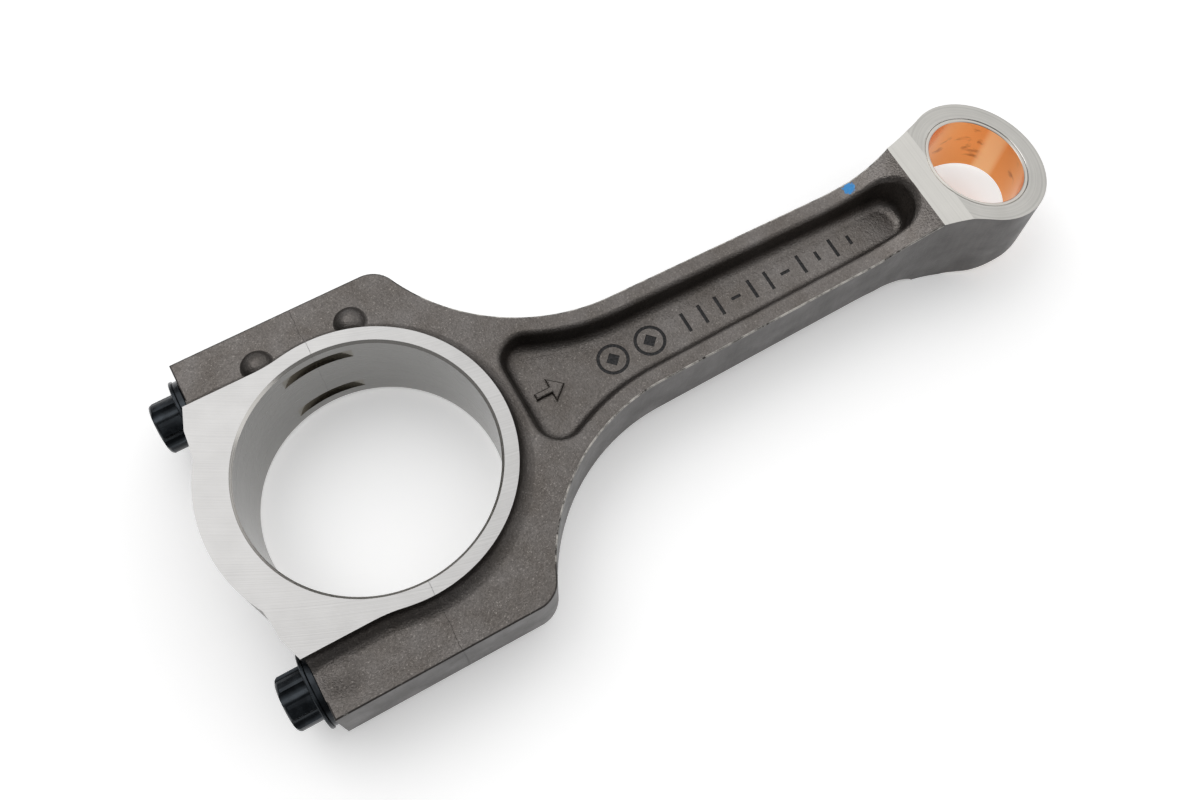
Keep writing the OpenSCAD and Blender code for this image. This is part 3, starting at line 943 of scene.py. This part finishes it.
def threaded_shank(looks, top, end):
    """The bolt's shank, along Z: a plain neck, then a screw thread down to a chamfered end."""
    pitch, crest = looks.thread_pitch, 4.48
    root = crest - 0.6 * pitch
    tip_r, neck_r, into_flange = 3.4, root + 0.25, 0.3
    steps, turns = 36, ceil((top - end) / pitch) + 2
    bm = bmesh.new()
    levels = ((root, 0), (root, 0.12), (crest, 0.44), (crest, 0.56), (root, 0.88), (root, 1))
    chain = [bm.verts.new((radius, 0, end - pitch * 1.5 + share * pitch)) for radius, share in levels]
    for one, two in zip(chain, chain[1:]):
        bm.edges.new((one, two))
    bmesh.ops.spin(bm, geom=bm.verts[:] + bm.edges[:], cent=(0, 0, 0), axis=(0, 0, 1), angle=2 * pi * turns,
                   steps=steps * turns, dvec=(0, 0, pitch / steps))
    bmesh.ops.remove_doubles(bm, verts=bm.verts, dist=1e-4)
    for height, side in ((end + 0.9, -1), (top, 1)):
        cut = bmesh.ops.bisect_plane(bm, geom=everything(bm), dist=1e-5,
                                     plane_co=(0, 0, height), plane_no=(0, 0, side), clear_outer=True)
        rim = of_kind(cut["geom_cut"], bmesh.types.BMEdge)
        radius, run = (tip_r, 0.9) if side < 0 else (neck_r, 0.4)
        grown = bmesh.ops.extrude_edge_only(bm, edges=rim)["geom"]
        for vert in of_kind(grown, bmesh.types.BMVert):
            scale = radius / hypot(vert.co.x, vert.co.y)
            vert.co = (vert.co.x * scale, vert.co.y * scale, height + side * run)
        if side > 0:
            grown = bmesh.ops.extrude_edge_only(bm, edges=of_kind(grown, bmesh.types.BMEdge))["geom"]
            for vert in of_kind(grown, bmesh.types.BMVert):
                vert.co.z = into_flange
        bmesh.ops.edgeloop_fill(bm, edges=of_kind(grown, bmesh.types.BMEdge))
    return bm


def lobed_head(black):
    """The wrench head, along Z: six wide lobes between round flutes, with a chamfered crown."""
    top, sunk = BOLT_SEAT_X - HEAD_X, 0.6
    head_r, flute_r, cut_d, lobes = 5.55, 1.75, 6.3, 6
    half_cos = (cut_d ** 2 + head_r ** 2 - flute_r ** 2) / (2 * cut_d * head_r)
    half = degrees(atan2(sqrt(1 - half_cos ** 2), half_cos))
    start = Vector((cos(radians(half)), sin(radians(half)))) * head_r
    flute = degrees(atan2(start.y, start.x - cut_d))
    bm = outline(start[:], (0, 0, 360 / lobes - half))
    join(bm, outline((start.x, -start.y), (cut_d, 0, 180), (cut_d, 0, flute)))
    bmesh.ops.spin(bm, geom=bm.verts[:] + bm.edges[:], cent=(0, 0, 0), axis=(0, 0, 1), angle=2 * pi,
                   steps=lobes, use_duplicate=True)
    bmesh.ops.remove_doubles(bm, verts=bm.verts, dist=1e-3)
    bmesh.ops.edgeloop_fill(bm, edges=bm.edges)
    bmesh.ops.translate(bm, verts=bm.verts, vec=(0, 0, FLANGE_T - sunk))
    rise(bm, top - FLANGE_T + sunk)
    crown = [(0, 0), (6.5, 0), (6.5, top - 0.8), (head_r, top - 0.75),
             (5.39, top - 0.43), (5.09, top - 0.15), (4.67, top), (0, top)]
    return machined(solid("head", bm, black), "INTERSECT", solid("crown", lathe(crown, 96), black))


class MakeBolts(bpy.types.Operator):
    """Makes both cap bolts: stepped flange, lobed head and threaded shank"""
    bl_idname = "conrod.cap_bolts"
    bl_label = "Cap bolts"

    def execute(self, context):
        looks, colours = settings()
        black = black_oxide(colours)
        neck_l = 14.0
        lip = [(0.45, 0), (0.3, 0.15), (0.3, 1.1), (0.38, 1.18), (0.1, 1.26),
               (0, 1.36), (0, 1.74), (0.14, 1.9), (1.2, FLANGE_T)]
        profile = [(0, 0)] + [(FLANGE_R - inset, height) for inset, height in lip] + [(0, FLANGE_T)]
        for side, y in (("left", BOLT_Y), ("right", -BOLT_Y)):
            bolt = solid("bolt", lathe(profile, 96), black)
            shank = threaded_shank(looks, -neck_l, BOLT_SEAT_X - BOLT_END_X)
            machined(bolt, "UNION", lobed_head(black), solid("shank", shank, black))
            for vert in bolt.data.vertices:
                vert.co = Vector((BOLT_SEAT_X - vert.co.z, y + vert.co.y, vert.co.x))
            node = "cap_bolt_" + side
            finished(bolt, node + "_detail", "bolt_" + side, "black_oxide_steel", node)
        return {"FINISHED"}


def paper_floor(studio):
    """Matt white backdrop paper: pale and even, with a trace of fibre and a faint glow of its own."""
    m, t = new_material("matt_paper_floor")
    place = add(t, "TexCoord").outputs["Object"]
    fibre = add(t, "TexNoise", {"Vector": place, "Scale": per_mm(1.5), "Detail": 3})
    tone = add(t, "MapRange", {"Value": fibre.outputs["Fac"], **span(0.0, 1.0, 0.985, 1.0)})
    base = add(t, "Mix", {0: 1.0, 6: linear(studio.floor), 7: tone.outputs["Result"]}, **MULTIPLY)
    surface(t, {
        "Base Color": base.outputs[2], "Roughness": 0.9,
        "Emission Color": linear("#ffffff"), "Emission Strength": 0.3,
    })
    return m


class MakeStudio(bpy.types.Operator):
    """Sets up the pale floor, the soft lights and the camera"""
    bl_idname = "conrod.studio"
    bl_label = "Studio"

    def execute(self, context):
        studio = context.scene.rod_studio
        bm = bmesh.new()
        bmesh.ops.create_grid(bm, x_segments=8, y_segments=8, size=3.0)
        bmesh.ops.translate(bm, verts=bm.verts, vec=(0, 0, -EYE_HALF * MM))
        mesh = bpy.data.meshes.new("floor")
        bm.to_mesh(mesh)
        bm.free()
        mesh.materials.append(paper_floor(studio))
        floor = bpy.data.objects.new("floor", mesh)
        context.scene.collection.objects.link(floor)

        world = bpy.data.worlds.new("studio")
        context.scene.world = world
        world.use_nodes = True
        sky = world.node_tree
        # The pale ceiling hangs behind the object, so the walls on the -Y side stay dim
        middle = Vector((0.4, 0.36, 1.0)).normalized()
        toward = add(sky, "VectorMath", {0: add(sky, "TexCoord").outputs["Generated"], 1: middle},
                     operation="DOT_PRODUCT")
        dome = add(sky, "MapRange", {
            "Value": toward.outputs["Value"], **span(0.35, 0.88, studio.horizon, studio.ambient),
        }, interpolation_type="SMOOTHSTEP")
        # Straight views past the floor's edge meet pale paper; only reflections see the dim walls
        seen_straight = add(sky, "LightPath").outputs["Is Camera Ray"]
        paper = add(sky, "Math", {0: dome.outputs["Result"], 1: seen_straight}, operation="MAXIMUM")
        background = sky.nodes["Background"]
        background.inputs["Color"].default_value = linear("#ffffff")
        sky.links.new(paper.outputs["Value"], background.inputs["Strength"])

        self.softbox("overhead", studio.overhead, 0.8, (-0.22, 0.42, 0.78), studio.camera_target)
        self.softbox("front", studio.front, 0.8, (0.85, -0.75, 0.32), studio.camera_target)

        camera = bpy.data.cameras.new("camera")
        camera.lens = studio.lens
        camera.sensor_width = 36
        camera.clip_start = 0.01
        seen = bpy.data.objects.new("camera", camera)
        context.scene.collection.objects.link(seen)
        level = cos(studio.camera_elevation)
        bearing = studio.camera_azimuth
        back = Vector((level * cos(bearing), level * sin(bearing), sin(studio.camera_elevation)))
        turn = back.to_track_quat("Z", "Y").to_matrix().to_4x4() @ Matrix.Rotation(studio.camera_roll, 4, "Z")
        place = Vector(studio.camera_target) + back * studio.camera_distance
        seen.matrix_world = Matrix.Translation(place) @ turn
        context.scene.camera = seen
        context.scene.view_settings.view_transform = "Standard"
        return {"FINISHED"}

    @staticmethod
    def softbox(name, power, size, place, target):
        light = bpy.data.lights.new(name, "AREA")
        light.energy = power
        light.shape = "SQUARE"
        light.size = size
        lamp = bpy.data.objects.new(name, light)
        bpy.context.scene.collection.objects.link(lamp)
        lamp.location = place
        lamp.rotation_euler = (Vector(place) - Vector(target)).to_track_quat("Z", "Y").to_euler()


class RodPanel(bpy.types.Panel):
    """Lists the pieces and their settings"""
    bl_idname = "VIEW3D_PT_conrod"
    bl_label = "Connecting Rod"
    bl_space_type = "VIEW_3D"
    bl_region_type = "UI"
    bl_category = "Connecting Rod"

    def draw(self, context):
        for maker in MAKERS:
            self.layout.operator(maker.bl_idname)
        for group in (context.scene.rod_looks, context.scene.rod_colours, context.scene.rod_studio):
            box = self.layout.box()
            for name in group.__annotations__:
                box.prop(group, name)


MAKERS = (MakeRod, MakeBush, MakeBolts, MakeStudio)
CLASSES = (RodLooks, RodColours, StudioSettings, *MAKERS, RodPanel)


def register():
    for cls in CLASSES:
        bpy.utils.register_class(cls)
    bpy.types.Scene.rod_looks = PointerProperty(type=RodLooks)
    bpy.types.Scene.rod_colours = PointerProperty(type=RodColours)
    bpy.types.Scene.rod_studio = PointerProperty(type=StudioSettings)


def unregister():
    del bpy.types.Scene.rod_studio
    del bpy.types.Scene.rod_colours
    del bpy.types.Scene.rod_looks
    for cls in reversed(CLASSES):
        bpy.utils.unregister_class(cls)


def main():
    register()
    bpy.ops.conrod.rod_and_cap()
    bpy.ops.conrod.pin_bush()
    bpy.ops.conrod.cap_bolts()
    bpy.ops.conrod.studio()


if __name__ == "__main__":
    main()
